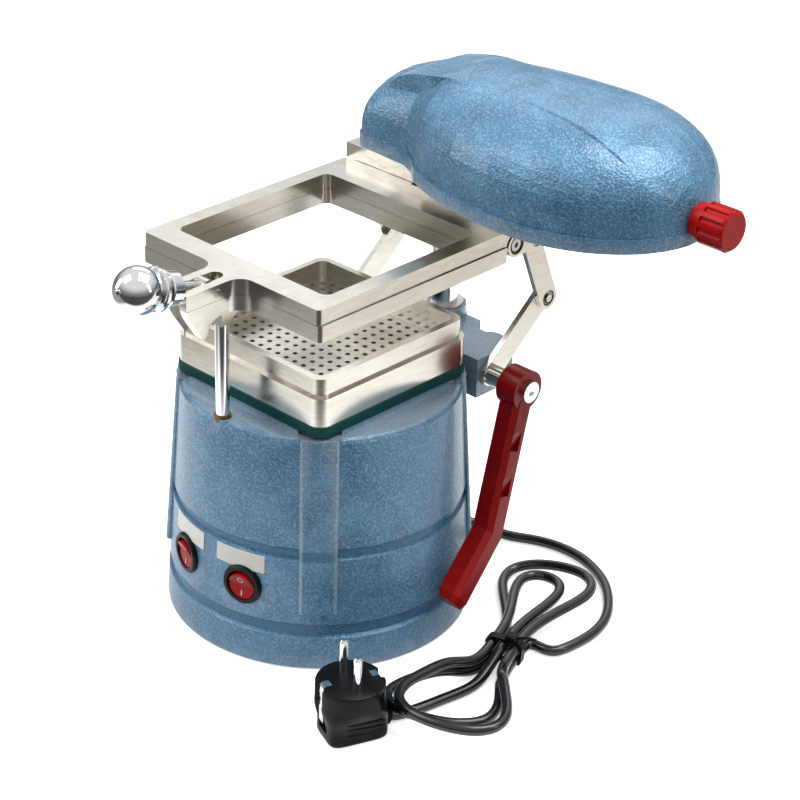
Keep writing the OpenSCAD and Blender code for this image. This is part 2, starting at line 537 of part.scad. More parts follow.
run_ctl = [[az[0] * 78, az[1] * 78, 12], [az[0] * 84, az[1] * 84, 12], [az[0] * 99, az[1] * 99, 12], [21, 112, 7], [43, 121, zf], [60, 130, zf], [77, 135, zf], [97, 134, zf],
  [118, 125, zf], [134, 111, zf], [146, 94, zf], [151, 77, zf], [151, 60, zf], [147, 44, zf], hk(18, 8.6, zf), hk(8, 6.8, zf), hk(0, 6.8, zf), hk(-8, 6.8, zf)];
exit_ctl = [hk(8, 0, z1), hk(0, 0, z1), hk(-8, 0, z1), hk(-20, -0.5, z1 - 2.4), hk(-32, -2, zf + 1), [138.5, -20, zf], [136, -33, zf], [133.6, -46, zf], [131, -57, zf], [128.8, -64.5, zf + 0.3], [126.6, -70.5, zf + 1.6], [124.6, -75.5, zf + 4], [123, -79.5, zf + 6.5]];
loops = concat(
  lobe(-1, 92, 26, -12, 6.8, -6.8, zf, zf, st + 4, 30),
  lobe(1, 95, 24, -6, -6.8, 6.8, zf, z1, 0, 28),
  lobe(-1, 103, 27, 4, 6.8, -6.8, z1, z1, st + 4, 30),
  lobe(1, 78, 11, -2, -6.8, 0, z1, z1, 0, 26));
run_pts = spline(run_ctl, 56);
exit_pts = spline(exit_ctl, 24);
hank_pts = concat(loops);
function length_of(p) = len(p) < 2 ? 0 : [for (i = 0, l = 0; i < len(p); i = i + 1, l = l + (i < len(p) ? norm(p[min(i, len(p) - 1)] - p[i - 1]) : 0)) l][len(p) - 1];
all_pts = concat(run_pts, hank_pts, exit_pts);
arc_at = [for (i = 0, l = 0; i < len(all_pts); l = l + (i + 1 < len(all_pts) ? norm(all_pts[i + 1] - all_pts[i]) : 0), i = i + 1) l];
worst = min([for (i = [0 : len(all_pts) - 1], j = [i + 1 : 1 : len(all_pts) - 1]) if (arc_at[j] - arc_at[i] > 22) norm(all_pts[i] - all_pts[j])]);
echo(cord_length = arc_at[len(arc_at) - 1], cord_self_gap = worst - cord_d);

function unit(v) = v / max(1e-9, norm(v));
module tube(p, r, m = 10) {
  n = len(p);
  rings = [for (i = [0 : n - 1]) let(d = unit(p[min(n - 1, i + 1)] - p[max(0, i - 1)]), a = unit(cross([0, 0, 1], d)), b = cross(d, a))
    [for (k = [0 : m - 1]) p[i] + r * (cos(360 * k / m) * a + sin(360 * k / m) * b)]];
  polyhedron(points = [for (q = rings, v = q) v], faces = concat([[for (k = [0 : m - 1]) k]], [[for (k = [m - 1 : -1 : 0]) (n - 1) * m + k]],
    [for (j = [0 : n - 2], k = [0 : m - 1]) let(a = j * m + k, b = j * m + (k + 1) % m) each [[a, a + m, b], [b, a + m, b + m]]]), convexity = 10);
}
function uniq(p) = [for (i = [0 : len(p) - 1]) if (i == 0 || norm(p[i] - p[max(0, i - 1)]) > 0.5) p[i]];
module cord_run() { color(dark) tube(uniq(run_pts), cr, 12); }
module cord_hank() { color(dark) tube(uniq(concat([hk(-8, 6.8, zf)], loops, [hk(8, 0, z1)])), cr, 12); }
module cord_tail() { color(dark) tube(uniq(exit_pts), cr, 12); }
module cord_tie() {
  color(dark) multmatrix([[g2[0], 0, h2[0], tie0[0]], [g2[1], 0, h2[1], tie0[1]], [0, 1, 0, 0], [0, 0, 0, 1]]) translate([0, 0, -2.5]) linear_extrude(5) difference() {
    translate([0, (zf + z1) / 2]) offset(cr + 1.4) square([13.6, z1 - zf], center = true);
    translate([0, (zf + z1) / 2]) offset(cr + 0.02) square([13.6, z1 - zf], center = true);
  }
}

// Plug, standing pins up
plug_c = [118, -92];
module plug_body() {
  color(dark) difference() {
    union() {
      translate([plug_c[0], plug_c[1], 0]) { cylinder(r1 = 17, r2 = 19.5, h = 5); cz(0, 0, 5, 33, 19.5); translate([0, 0, 33]) cylinder(r1 = 19.5, r2 = 17.5, h = 2); }
      translate([plug_c[0], plug_c[1], 13]) rotate([0, 0, 68]) rotate([0, 108, 0]) cylinder(r1 = 11, r2 = 5.2, h = 24);
    }
    translate([0, 0, -50]) cube([400, 400, 100], center = true);
    tube(uniq(exit_pts), cr, 12);
    for (m = [-1, 1]) translate([plug_c[0], plug_c[1], 0]) rotate([0, 0, 68]) cz(0, m * 9.5, 20, 40, 2.4);
  }
}
module plug_pins() { color(chrome) translate([plug_c[0], plug_c[1], 0]) rotate([0, 0, 68]) for (m = [-1, 1]) { cz(0, m * 9.5, 20, 53, 2.4); translate([0, m * 9.5, 53]) cylinder(r1 = 2.4, r2 = 1.4, h = 1.6); } }

base_housing();
base_plate();
foot_ring();
base_screws();
motor_mount();
vacuum_motor();
motor_rotor();
suction_duct();
table_gasket();
vacuum_table();
perforated_plate();
table_screws();
heat_bezel();
vacuum_bezel();
heat_rocker();
vacuum_rocker();
label_plates();
cord_gland();
rod_bush();
rear_bracket();
bracket_bolts();
column();
column_collar();
column_washer();
lever_shaft();
crank_right();
crank_left();
elbow_pins();
hub_spacer();
lever_handle();
lever_screw();
upper_link_right();
upper_link_left();
link_screws();
crosshead();
crosshead_bush();
frame_screws();
hinge_pins();
lower_frame();
guide_rod();
upper_frame();
clamp_pin();
swing_bolt();
clamp_collar();
ball_knob();
head_casing();
head_floor();
head_collar();
head_hub();
head_screws();
heater_tray();
heating_coil();
heater_guard();
head_knob();
cord_run();
cord_hank();
cord_tail();
cord_tie();
plug_body();
plug_pins();
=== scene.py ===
"""Blender scene of the dental vacuum former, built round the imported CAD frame."""
from __future__ import annotations

import json
import logging
import math
from dataclasses import dataclass
from enum import Enum
from typing import Callable, Sequence

import bmesh
import bpy
from mathutils import Matrix, Vector

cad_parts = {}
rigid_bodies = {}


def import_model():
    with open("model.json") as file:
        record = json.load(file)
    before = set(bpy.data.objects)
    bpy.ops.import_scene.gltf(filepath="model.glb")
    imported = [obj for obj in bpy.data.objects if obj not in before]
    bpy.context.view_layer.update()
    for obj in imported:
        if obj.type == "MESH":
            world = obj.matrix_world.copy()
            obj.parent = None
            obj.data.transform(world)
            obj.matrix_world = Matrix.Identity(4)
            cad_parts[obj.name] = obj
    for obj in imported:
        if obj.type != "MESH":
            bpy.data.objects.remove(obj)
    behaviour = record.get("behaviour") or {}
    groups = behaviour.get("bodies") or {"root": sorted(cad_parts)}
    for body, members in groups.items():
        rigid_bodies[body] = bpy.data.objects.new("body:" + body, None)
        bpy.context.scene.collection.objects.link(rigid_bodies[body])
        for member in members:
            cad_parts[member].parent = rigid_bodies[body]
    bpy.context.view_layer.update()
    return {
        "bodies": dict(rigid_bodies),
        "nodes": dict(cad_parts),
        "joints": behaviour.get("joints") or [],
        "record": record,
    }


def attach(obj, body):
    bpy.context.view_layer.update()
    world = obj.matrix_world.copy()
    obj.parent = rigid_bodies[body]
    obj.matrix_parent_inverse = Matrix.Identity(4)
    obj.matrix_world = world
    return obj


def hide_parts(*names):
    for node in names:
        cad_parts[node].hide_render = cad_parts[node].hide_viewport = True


LOG = logging.getLogger("scene")
MM = 0.001
BOARD_TONE = "#f6f6f5"
SENSOR_MM = 36.0
Socket = bpy.types.NodeSocket


class Look(Enum):
    """The finishes that the object has."""

    HAMMER = "hammered_paint"
    NICKEL = "satin_nickel"
    CHROME = "chrome"
    STEEL = "plain_steel"
    ALUMINIUM = "pressed_aluminium"
    RED_PAINT = "red_paint"
    RED_GLOSS = "red_gloss"
    BLACK = "black_plastic"
    CORD = "cord_jacket"
    GREEN = "green_rubber"
    RUBBER = "foot_rubber"
    LABEL = "label"
    BRONZE = "bronze"
    COPPER = "copper"
    INK = "ink"
    FLOOR = "floor"


@dataclass(frozen=True)
class Finish:
    """Numbers of one procedural finish.

    Args:
        base: sRGB hex of the main colour.
        alt: sRGB hex that the main colour varies to.
        metallic: 0 or 1.
        rough: (lowest, highest) roughness.
        grain_mm: size of one grain of the pattern, in millimetres.
        bump: bump height in metres.
        coat: clear-coat weight.
        kind: pattern, one of "noise", "leather", "brush".
        specular: Specular IOR Level, 0.5 where nothing else is needed.
    """

    base: str
    alt: str
    metallic: float
    rough: tuple[float, float]
    grain_mm: float
    bump: float
    coat: float = 0.0
    kind: str = "noise"
    specular: float = 0.5


FINISHES: dict[Look, Finish] = {
    # hammer-finish enamel sprayed on cast aluminium: small dimples on a deeper blue, with pale painted highlights
    # speckled over them
    Look.HAMMER: Finish("#2d6385", "#4a81a5", 0.25, (0.28, 0.38), 1.25, 0.00042, 0.25, "leather"),
    # satin nickel plate on milled aluminium: soft warm reflections with faint drawn lines
    Look.NICKEL: Finish("#cfcbc2", "#bcb7ad", 1.0, (0.16, 0.27), 11.0, 0.00002, 0.0, "brush"),
    # polished chrome plate: sharp dark and white reflections
    Look.CHROME: Finish("#e9e9ea", "#d9d9dc", 1.0, (0.05, 0.11), 16.0, 0.0),
    # plain turned steel, a little darker and duller than the plate
    Look.STEEL: Finish("#c4c2bd", "#a5a29b", 1.0, (0.25, 0.38), 7.0, 0.00002, 0.0, "brush"),
    # pressed aluminium sheet, as rolled
    Look.ALUMINIUM: Finish("#d2cfc8", "#b9b5ac", 1.0, (0.24, 0.36), 6.2, 0.00003, 0.0, "brush"),
    # red stove enamel on the cast lever: smooth, with the slight waviness of a casting
    Look.RED_PAINT: Finish("#7d0301", "#900603", 0.0, (0.24, 0.34), 3.8, 0.00006, 0.06, "noise", 0.18),
    # moulded red plastic of the knob and the switch rockers
    Look.RED_GLOSS: Finish("#980507", "#a8090b", 0.0, (0.26, 0.36), 8.0, 0.0, 0.04, "noise", 0.15),
    # moulded black plastic with a fine spark-eroded grain
    Look.BLACK: Finish("#060607", "#0c0c0d", 0.0, (0.28, 0.40), 1.4, 0.00004, 0.0, "noise", 0.16),
    # extruded PVC jacket: near-black and shiny
    Look.CORD: Finish("#0a0a0b", "#101012", 0.0, (0.16, 0.26), 1.1, 0.00002, 0.3),
    # green rubber sheet under the table
    Look.GREEN: Finish("#053a38", "#074844", 0.0, (0.55, 0.65), 2.5, 0.00004, 0.0, "noise", 0.2),
    # moulded foot rubber, matt
    Look.RUBBER: Finish("#141415", "#1e1e20", 0.0, (0.60, 0.75), 2.0, 0.00005),
    # printed vinyl plate, bare here
    Look.LABEL: Finish("#e9e8e2", "#dfded6", 0.0, (0.42, 0.52), 5.0, 0.0),
    # sintered bronze bush, oiled and dark
    Look.BRONZE: Finish("#7d6440", "#66512f", 1.0, (0.28, 0.40), 5.0, 0.00002),
    # varnished copper winding
    Look.COPPER: Finish("#9c6238", "#7d4d2b", 1.0, (0.35, 0.50), 3.3, 0.00003),
    # grey marking ink
    Look.INK: Finish("#2b3138", "#343b43", 0.0, (0.50, 0.60), 5.0, 0.0),
}

NODE_LOOKS: dict[Look, Sequence[str]] = {
    Look.HAMMER: ("base_housing", "head_casing", "column_collar", "rear_bracket"),
    Look.NICKEL: ("lower_frame", "upper_frame", "crosshead", "crank_right", "crank_left",
                  "upper_link_right", "upper_link_left", "vacuum_table", "swing_bolt", "hub_spacer", "head_collar"),
    Look.CHROME: ("column", "guide_rod", "lever_screw", "clamp_collar", "ball_knob", "plug_pins"),
    Look.STEEL: ("base_screws", "table_screws", "bracket_bolts", "column_washer", "lever_shaft", "elbow_pins",
                 "link_screws", "frame_screws", "hinge_pins", "clamp_pin", "head_screws", "heater_guard"),
    Look.ALUMINIUM: ("perforated_plate", "vacuum_motor", "head_floor", "heater_tray"),
    Look.RED_PAINT: ("lever_handle",),
    Look.RED_GLOSS: ("head_knob", "heat_rocker", "vacuum_rocker"),
    Look.BLACK: ("heat_bezel", "vacuum_bezel", "cord_gland", "base_plate", "suction_duct", "head_hub", "plug_body",
                 "cord_tie"),
    Look.GREEN: ("table_gasket",),
    Look.RUBBER: ("foot_ring", "motor_mount"),
    Look.LABEL: ("label_plates",),
    Look.BRONZE: ("rod_bush", "crosshead_bush"),
    Look.COPPER: ("motor_rotor", "heating_coil"),
}


def srgb(text: str) -> tuple[float, float, float, float]:
    """Turns an sRGB hex colour into linear RGBA.

    Args:
        text: colour such as "#4a80aa".

    Returns:
        The linear colour with alpha 1.
    """
    out = []
    for i in (1, 3, 5):
        v = int(text[i:i + 2], 16) / 255
        out.append(v / 12.92 if v <= 0.04045 else ((v + 0.055) / 1.055) ** 2.4)
    return out[0], out[1], out[2], 1.0


def add_node(tree: bpy.types.NodeTree, kind: str, inputs: dict | None = None, **props) -> bpy.types.Node:
    """Adds one node to a tree.

    Args:
        tree: the node tree.
        kind: node type name.
        inputs: input name or index to a value or an output socket.
        **props: attributes to set on the node before its inputs.

    Returns:
        The new node.
    """
    node = tree.nodes.new(kind)
    for key, value in props.items():
        setattr(node, key, value)
    for key, value in (inputs or {}).items():
        if isinstance(value, bpy.types.NodeSocket):
            tree.links.new(value, node.inputs[key])
        else:
            node.inputs[key].default_value = value
    return node


def remap(tree: bpy.types.NodeTree, value: Socket, reach: tuple, result: tuple = (0.0, 1.0), **props) -> Socket:
    """Maps a value from one range to another.

    Args:
        tree: the node tree.
        value: socket that gives the value.
        reach: (lowest, highest) value taken.
        result: (lowest, highest) value given.
        **props: attributes of the Map Range node.

    Returns:
        The result's socket.
    """
    ends = {"From Min": reach[0], "From Max": reach[1], "To Min": result[0], "To Max": result[1]}
    return add_node(tree, "ShaderNodeMapRange", {"Value": value, **ends}, **props).outputs["Result"]


def blend(tree: bpy.types.NodeTree, factor: Socket, first: Socket | tuple, second: Socket | tuple) -> Socket:
    """Mixes two colours.

    Args:
        tree: the node tree.
        factor: 0 for the first colour, 1 for the second.
        first: a colour or its socket.
        second: a colour or its socket.

    Returns:
        The mixed colour's socket.
    """
    return add_node(tree, "ShaderNodeMix", {0: factor, 6: first, 7: second}, data_type="RGBA").outputs[2]


def reckon(tree: bpy.types.NodeTree, operation: str, *values: Socket | float) -> Socket:
    """Adds one Math node.

    Args:
        tree: the node tree.
        operation: the node's operation.
        *values: sockets or numbers, in the node's order.

    Returns:
        The answer's socket.
    """
    return add_node(tree, "ShaderNodeMath", dict(enumerate(values)), operation=operation).outputs[0]


class Palette:
    """Makes and keeps the procedural materials."""

    # grey cards on the board: direction, (near, far) metres along it, tone
    cards = (
        ((0.705, 0.709, 0.0), (-0.27, -0.46), "#777672"),
        ((0.705, 0.709, 0.0), (0.32, 0.50), "#c6c4be"),
        ((0.709, -0.705, 0.0), (0.26, 0.40), "#2c2c2e"),
    )
    glow_in_view = 0.64
    glow_in_mirror = 0.22
    # the base casting's grooves, lowest and highest metre of each
    grooves = ((0.0210, 0.0290), (0.0706, 0.0770))
    groove_ease = 0.0005
    # the broad cloud is this many grains wide
    cloud_grains = 14

    def __init__(self) -> None:
        self._made: dict[Look, bpy.types.Material] = {}

    def get(self, look: Look) -> bpy.types.Material:
        """Returns the material of a look, made on first use.

        Args:
            look: which finish.

        Returns:
            The material.
        """
        if look not in self._made:
            self._made[look] = self._floor() if look is Look.FLOOR else self._build(look)
        return self._made[look]

    @staticmethod
    def _fresh(name: str) -> tuple[bpy.types.Material, bpy.types.NodeTree, bpy.types.Node]:
        """Starts a material.

        Args:
            name: its name.

        Returns:
            The material, its node tree and its Principled BSDF, joined to the output.
        """
        mat = bpy.data.materials.new(name)
        mat.use_nodes = True
        tree = mat.node_tree
        tree.nodes.clear()
        shader = add_node(tree, "ShaderNodeBsdfPrincipled")
        out = add_node(tree, "ShaderNodeOutputMaterial")
        tree.links.new(shader.outputs["BSDF"], out.inputs["Surface"])
        return mat, tree, shader

    def _floor(self) -> bpy.types.Material:
        """Makes a pale painted board. Bright metal sees it too, with grey cards laid out of the picture.

        Returns:
            The material.
        """
        mat, tree, shader = self._fresh("pale_board")
        coords = add_node(tree, "ShaderNodeTexCoord").outputs["Object"]
        noise = add_node(tree, "ShaderNodeTexNoise", {"Vector": coords, "Scale": 3.0})
        tree.links.new(remap(tree, noise.outputs["Fac"], (0.0, 1.0), (0.86, 0.9)), shader.inputs["Roughness"])
        tone: Socket | tuple = srgb(BOARD_TONE)
        for aim, reach, card in self.cards:
            place = add_node(tree, "ShaderNodeVectorMath", {0: coords, 1: aim}, operation="DOT_PRODUCT")
            mask = remap(tree, place.outputs["Value"], reach, interpolation_type="SMOOTHSTEP")
            tone = blend(tree, mask, tone, srgb(card))
        rays = add_node(tree, "ShaderNodeLightPath").outputs
        clear = reckon(tree, "MAXIMUM", rays["Is Glossy Ray"], rays["Is Transmission Ray"])
        mirrored = blend(tree, clear, srgb("#8e8e90"), tone)
        seen = blend(tree, rays["Is Camera Ray"], mirrored, srgb(BOARD_TONE))
        tree.links.new(seen, shader.inputs["Base Color"])
        tree.links.new(seen, shader.inputs["Emission Color"])
        dim = reckon(tree, "MULTIPLY", clear, self.glow_in_mirror)
        glow = reckon(tree, "MULTIPLY_ADD", rays["Is Camera Ray"], self.glow_in_view, dim)
        tree.links.new(glow, shader.inputs["Emission Strength"])
        return mat

    @classmethod
    def _bands(cls, tree: bpy.types.NodeTree) -> Socket:
        """Masks the base casting's two grooves, where the paint lies thicker and smoother.

        Args:
            tree: the paint's node tree.

        Returns:
            The mask's socket.
        """
        where = add_node(tree, "ShaderNodeTexCoord").outputs["Object"]
        z = add_node(tree, "ShaderNodeSeparateXYZ", {0: where}).outputs["Z"]
        ease = cls.groove_ease
        masks = []
        for low, high in cls.grooves:
            rise = remap(tree, z, (low - ease, low + ease), (0.0, 0.75))
            fall = remap(tree, z, (high - ease, high + ease), (1.0, 0.0))
            masks.append(reckon(tree, "MULTIPLY", rise, fall))
        return reckon(tree, "MAXIMUM", *masks)

    def _build(self, look: Look) -> bpy.types.Material:
        """Makes one finish of the object.

        Args:
            look: which finish.

        Returns:
            The material.
        """
        f = FINISHES[look]
        scale = 1000 / f.grain_mm
        mat, tree, shader = self._fresh(look.value)
        where = add_node(tree, "ShaderNodeTexCoord").outputs["Object"]
        if f.kind == "brush":
            where = add_node(tree, "ShaderNodeMapping", {"Vector": where, "Scale": (1.0, 1.0, 6.0)}).outputs["Vector"]
        grain = {"Vector": where, "Scale": scale, "Detail": 4.0, "Roughness": 0.55}
        fine = add_node(tree, "ShaderNodeTexNoise", grain).outputs["Fac"]
        cloud = {"Vector": where, "Scale": scale / self.cloud_grains, "Detail": 3.0}
        broad = add_node(tree, "ShaderNodeTexNoise", cloud).outputs["Fac"]
        spread = remap(tree, reckon(tree, "MULTIPLY", fine, broad), (0.14, 0.36))
        colour = blend(tree, spread, srgb(f.base), srgb(f.alt))
        height = fine
        if f.kind == "leather":
            drops = {"Vector": where, "Scale": scale, "Smoothness": 0.6, "Randomness": 1.0}
            cells = add_node(tree, "ShaderNodeTexVoronoi", drops, feature="SMOOTH_F1").outputs["Distance"]
            height = reckon(tree, "ADD", cells, reckon(tree, "MULTIPLY", fine, 0.6))
            # painted highlight: pale blue-grey speckles towards the dimples' rims, standing in for glints of light off
            # the hammered paint
            colour = blend(tree, remap(tree, cells, (0.40, 0.80), (0.0, 0.34)), colour, srgb("#a6b6c2"))
            colour = blend(tree, self._bands(tree), colour, srgb("#1f587c"))
        # painted highlight: on the leather and brush finishes, edges with high pointiness (convex, rounded edges) are
        # lightened towards pale grey, standing in for light catching them
        if f.kind != "noise":
            edge = add_node(tree, "ShaderNodeNewGeometry").outputs["Pointiness"]
            colour = blend(tree, remap(tree, edge, (0.53, 0.62), (0.0, 0.25)), colour, srgb("#dcdcd8"))
        tree.links.new(colour, shader.inputs["Base Color"])
        tree.links.new(remap(tree, broad, (0.3, 0.7), f.rough), shader.inputs["Roughness"])
        shader.inputs["Metallic"].default_value = f.metallic
        shader.inputs["Coat Weight"].default_value = f.coat
        shader.inputs["Coat Roughness"].default_value = 0.12
        shader.inputs["Specular IOR Level"].default_value = f.specular
        if f.bump:
            bump = add_node(tree, "ShaderNodeBump", {"Height": height, "Strength": 0.8, "Distance": f.bump})
            tree.links.new(bump.outputs["Normal"], shader.inputs["Normal"])
        return mat


@dataclass(frozen=True)
class PhotoCamera:
    """The photograph's camera, fitted in the row frame, lengths in millimetres."""

    target: tuple[float, float, float] = (0.0, 0.0, 150.0)
    azimuth: float = 45.14
    elevation: float = 27.36
    distance: float = 1354.79
    focal_px: float = 2357.76
    centre_px: tuple[float, float] = (321.31, 363.58)
    roll: float = 0.76
    side_px: int = 800

    def make(self) -> bpy.types.Object:
        """Builds the camera and makes it the scene's.

        Returns:
            The camera object.
        """
        a, e, r = (math.radians(v) for v in (self.azimuth, self.elevation, self.roll))
        back = Vector((math.sin(a) * math.cos(e), -math.cos(a) * math.cos(e), math.sin(e)))
        right = Vector((math.cos(a), math.sin(a), 0.0))
        up = back.cross(right)
        right2 = right * math.cos(r) + up * math.sin(r)
        up2 = up * math.cos(r) - right * math.sin(r)
        data = bpy.data.cameras.new("photo_camera")
        data.sensor_width = SENSOR_MM
        data.lens = self.focal_px / self.side_px * SENSOR_MM
        data.shift_x = (self.side_px / 2 - self.centre_px[0]) / self.side_px
        data.shift_y = (self.centre_px[1] - self.side_px / 2) / self.side_px
        data.clip_start, data.clip_end = 0.05, 20.0
        cam = bpy.data.objects.new("photo_camera", data)
        link(cam)
        place = Matrix((right2, up2, back)).transposed().to_4x4()
        place.translation = (Vector(self.target) + back * self.distance) * MM
        cam.matrix_world = place
        bpy.context.scene.camera = cam
        return cam


def smooth(x: float) -> float:
    """Gives the smoothstep of a number held to 0..1.

    Args:
        x: the number.

    Returns:
        A number from 0 to 1.
    """
    x = min(1.0, max(0.0, x))
    return x * x * (3 - 2 * x)


class CordRoute:
    """The cord's route, the same formulas as the CAD source, in millimetres."""

    diameter = 6.2
    tie = (130.0, 22.0)
    heading = (-0.33, 0.945)
    # the outer strands pass the tie this far from its middle
    lane = 6.8
    # the run leaves the base at this angle, and shows from this radius on
    exit_degrees = 80
    exit_radius = 92
    # the run's bends on the floor, from the gland to the hank
    bends = ((60, 130), (77, 135), (97, 134), (118, 125), (134, 111), (146, 94), (151, 77), (151, 60), (147, 44))

    def __init__(self) -> None:
        n = math.hypot(*self.heading)
        self.along = (self.heading[0] / n, self.heading[1] / n)
        self.across = (self.along[1], -self.along[0])
        self.step = self.diameter + 1.2
        self.z0 = self.diameter / 2 + 0.05
        self.z1 = self.z0 + self.step

    def at(self, al: float, la: float, z: float) -> Vector:
        """Places a point by its distances along and across the hank's axis.

        Args:
            al: distance along the hank from the tie.
            la: distance across it.
            z: height.

        Returns:
            The point in the row frame.
        """
        x, y = (o + al * u + la * v for o, u, v in zip(self.tie, self.along, self.across))
        return Vector((x, y, z))

    def lobe(self, sign: int, size: tuple[float, float, float], lanes: tuple[float, float],
             heights: tuple[float, float], lift: float, n: int) -> list[Vector]:
        """Makes one loop of the hank, out from the tie and back to it.

        Args:
            sign: 1 for the upper end, -1 for the lower.
            size: reach from the tie, half width, and sideways lean of the tip.
            lanes: places across the tie where it leaves and returns.
            heights: heights where it leaves and returns.
            lift: extra height away from the tie.
            n: number of steps.

        Returns:
            The points.
        """
        length, width, lean = size
        l0, l1 = lanes
        za, zb = heights
        out = []
        for i in range(n + 1):
            f = math.pi * i / n
            s = math.sin(f)
            bulge = math.copysign(1, l0) * width / 0.77 * s * math.sin(2 * f)
            side = l0 + (l1 - l0) * smooth(i / n) + bulge + lean * s * s
            z = za + (zb - za) * smooth((i / n - 0.25) / 0.4) + lift * smooth((length * s - 12) / 36)
            out.append(self.at(sign * (8 + (length - 8) * s), side, z))
        return out

    @staticmethod
    def spline(ctl: Sequence[Vector], n: int) -> list[Vector]:
        """Draws a Catmull-Rom curve through all but the first and last control points.

        Args:
            ctl: control points.
            n: number of steps.

        Returns:
            The points.
        """
        out = []
        for i in range(n + 1):
            t = (len(ctl) - 3) * i / n
            k = min(len(ctl) - 4, int(t))
            u = t - k
            a, b, c, d = ctl[k:k + 4]
            bend = (2 * a - 5 * b + 4 * c - d) * u * u
            out.append(0.5 * (2 * b + (c - a) * u + bend + (3 * b - a - 3 * c + d) * u ** 3))
        return out

    def points(self) -> list[Vector]:
        """The whole route from the gland to the plug.

        Returns:
            The points in metres, none closer than half a millimetre, from the base's wall on.
        """
        z0, z1, lane = self.z0, self.z1, self.lane
        ax, ay = (trig(math.radians(self.exit_degrees)) for trig in (math.cos, math.sin))
        run = [Vector((ax * r, ay * r, 12)) for r in (78, 84, 99)]
        run += [Vector((21, 112, 7)), Vector((43, 121, z0))]
        run += [Vector((x, y, z0)) for x, y in self.bends]
        run += [self.at(18, 8.6, z0)] + [self.at(al, lane, z0) for al in (8, 0, -8)]
        tail = [self.at(8, 0, z1), self.at(0, 0, z1), self.at(-8, 0, z1), self.at(-20, -0.5, z1 - 2.4),
                self.at(-32, -2, z0 + 1)]
        tail += [Vector((x, y, z0 + up)) for x, y, up in (
            (138.5, -20, 0), (136, -33, 0), (133.6, -46, 0), (131, -57, 0), (128.8, -64.5, 0.3),
            (126.6, -70.5, 1.6), (124.6, -75.5, 4), (123, -79.5, 6.5))]
        raised = self.step + 4
        pts = self.spline(run, 56)
        pts += self.lobe(-1, (92, 26, -12), (lane, -lane), (z0, z0), raised, 30)
        pts += self.lobe(1, (95, 24, -6), (-lane, lane), (z0, z1), 0, 28)
        pts += self.lobe(-1, (103, 27, 4), (lane, -lane), (z1, z1), raised, 30)
        pts += self.lobe(1, (78, 11, -2), (-lane, 0), (z1, z1), 0, 26)
        pts += self.spline(tail, 24)
        kept = [pts[0]]
        for p in pts[1:]:
            if (p - kept[-1]).length > 0.5:
                kept.append(p)
        return [p * MM for p in kept if math.hypot(p.x, p.y) > self.exit_radius]


def link(obj: bpy.types.Object) -> bpy.types.Object:
    """Puts an object in the scene.

    Args:
        obj: the object.

    Returns:
        The same object.
    """
    bpy.context.scene.collection.objects.link(obj)
    return obj


def mesh_object(name: str, build: Callable[[bmesh.types.BMesh], None], mat: bpy.types.Material,
                smooth_faces: bool = True, crease: float = 180.0) -> bpy.types.Object:
    """Makes an object from a bmesh builder.

    Args:
        name: object name.
        build: fills the bmesh, in metres.
        mat: material.
        smooth_faces: shade smooth.
        crease: edges that turn by more degrees than this stay sharp.

    Returns:
        The new object.
    """
    mesh = bpy.data.meshes.new(name)
    bm = bmesh.new()
    build(bm)
    bmesh.ops.recalc_face_normals(bm, faces=bm.faces)
    for face in bm.faces:
        face.smooth = smooth_faces
    for edge in bm.edges:
        edge.smooth = edge.calc_face_angle(0.0) < math.radians(crease)
    bm.to_mesh(mesh)
    bm.free()
    mesh.materials.append(mat)
    return link(bpy.data.objects.new(name, mesh))


def skin_rings(bm: bmesh.types.BMesh, rings: Sequence[Sequence[bmesh.types.BMVert]]) -> None:
    """Joins each ring of points to the next with faces.

    Args:
        bm: mesh to add to.
        rings: rings with the same number of points.
    """
    n = len(rings[0])
    for a, b in zip(rings, rings[1:]):
        for k in range(n):
            bm.faces.new((a[k], a[(k + 1) % n], b[(k + 1) % n], b[k]))


def sweep(bm: bmesh.types.BMesh, path: Sequence[Vector], radius: Callable[[int], float], sides: int = 16) -> None:
    """Sweeps a round section along a path, with closed ends.

    Args:
        bm: mesh to add to.
        path: points in metres.
        radius: radius at each point.
        sides: points round the section.
    """
    turns = [2 * math.pi * k / sides for k in range(sides)]
    rings = []
    normal = Vector((0, 0, 1))
    for i, p in enumerate(path):
        d = (path[min(len(path) - 1, i + 1)] - path[max(0, i - 1)]).normalized()
        normal = (normal - d * normal.dot(d)).normalized()
        side = d.cross(normal)
        rings.append([bm.verts.new(p + radius(i) * (math.cos(t) * side + math.sin(t) * normal)) for t in turns])
    skin_rings(bm, rings)
    bm.faces.new(rings[0])
    bm.faces.new(list(reversed(rings[-1])))


_FRAME: dict = {}


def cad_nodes() -> dict[str, bpy.types.Object]:
    """Gives the loaded frame's pieces.

    Returns:
        The CAD nodes' objects by name.
    """
    return _FRAME["nodes"]


class CordMaker:
    # path points are no closer than this, in metres
    shortest_step = 0.0022

    def __init__(self, palette: Palette, carried: Sequence[bpy.types.Object]) -> None:
        self.palette = palette
        self.route = CordRoute()
        self.carried = list(carried)

    def fine_path(self) -> list[Vector]:
        """Evens the route out to short equal steps with rounded corners.

        Returns:
            The cord's middle line, in metres.
        """
        pts = self.route.points()
        ctl = [2 * pts[0] - pts[1]] + pts + [2 * pts[-1] - pts[-2]]
        dense = CordRoute.spline(ctl, len(pts) * 3)
        out = [dense[0]]
        for p in dense[1:]:
            if (p - out[-1]).length > self.shortest_step:
                out.append(p)
        for _ in range(3):
            out = [out[0], *((a + 2 * b + c) / 4 for a, b, c in zip(out, out[1:], out[2:])), out[-1]]
        return out

    def make(self) -> bpy.types.Object:
        """Builds the cord.

        Returns:
            The cord object.
        """
        path = self.fine_path()
        r = self.route.diameter / 2 * MM
        cord = mesh_object("cord", lambda bm: sweep(bm, path, lambda i: r), self.palette.get(Look.CORD))
        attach(cord, "base")
        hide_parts("cord_run", "cord_hank", "cord_tail")
        return cord


